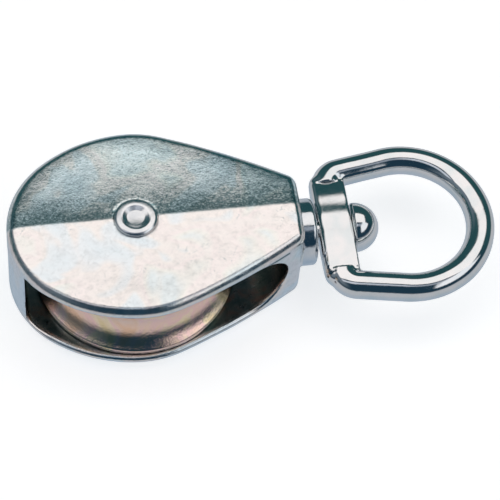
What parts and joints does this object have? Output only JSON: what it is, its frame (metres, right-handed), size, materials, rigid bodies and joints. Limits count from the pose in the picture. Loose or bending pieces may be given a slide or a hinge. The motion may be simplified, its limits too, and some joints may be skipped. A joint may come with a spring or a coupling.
{
  "type": "single sheave block",
  "caption": "Single sheave block: open-sided body with two cheeks, grooved free-turning sheave on a riveted axle, and a swivelling D-shaped eye.",
  "frame": {"origin": "centre of the sheave, on its axle and midway between the cheeks", "axes": "+Z along the axle out of the front cheek, +X from the axle towards the swivel eye, +Y across the block"},
  "size_m": [0.093, 0.0402, 0.022],
  "materials": {
    "casting": "satin zinc plate on a die casting, faint iridescent passivation",
    "rivet": "bright zinc plate",
    "sheave": "yellow zinc passivate, satin",
    "hub": "bright zinc plate",
    "pin": "bright nickel plate",
    "eye": "bright nickel plate"
  },
  "bodies": {
    "frame": {"body_casting": "casting", "axle_rivet": "rivet", "swivel_pin": "pin"},
    "sheave": {"sheave_front_half": "sheave", "sheave_back_half": "sheave", "sheave_hub": "hub"},
    "eye": {"swivel_eye": "eye"}
  },
  "joints": [
    {"name": "sheave_spin", "type": "hinge", "parent": "frame", "child": "sheave", "pos_m": [0, 0, 0], "axis": [0, 0, 1], "continuous": true},
    {"name": "eye_swivel", "type": "hinge", "parent": "frame", "child": "eye", "pos_m": [0.0381, 0, 0], "axis": [1, 0, 0], "continuous": true}
  ]
}
